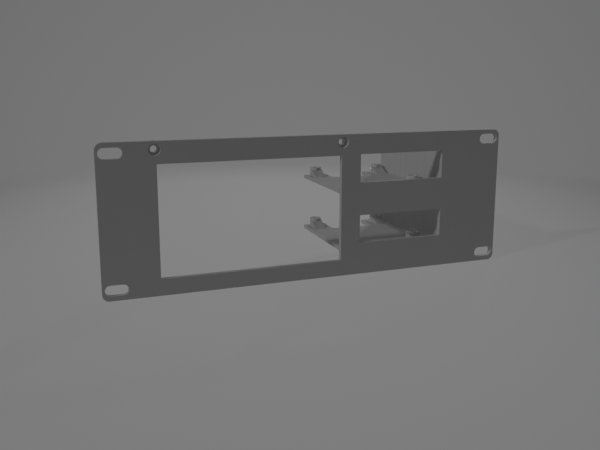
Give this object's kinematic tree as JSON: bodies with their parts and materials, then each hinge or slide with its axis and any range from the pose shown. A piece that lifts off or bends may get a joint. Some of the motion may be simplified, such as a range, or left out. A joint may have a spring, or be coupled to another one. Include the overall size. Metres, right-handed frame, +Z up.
{
  "type": "rack mount bracket",
  "caption": "Flat rack panel with a large device opening, a pair of windows, and stacked board trays with screw posts standing out behind it on a side wall.",
  "frame": {"origin": "middle of the rack slots, on the panel's back face", "axes": "+X along the panel's width, to the right seen from the front; +Y towards the back, the way the trays point; +Z up"},
  "size_m": [0.254, 0.09, 0.088],
  "materials": {
    "plastic": "matt dark grey printed plastic"
  },
  "bodies": {
    "root": {"bracket": "plastic"}
  },
  "joints": []
}
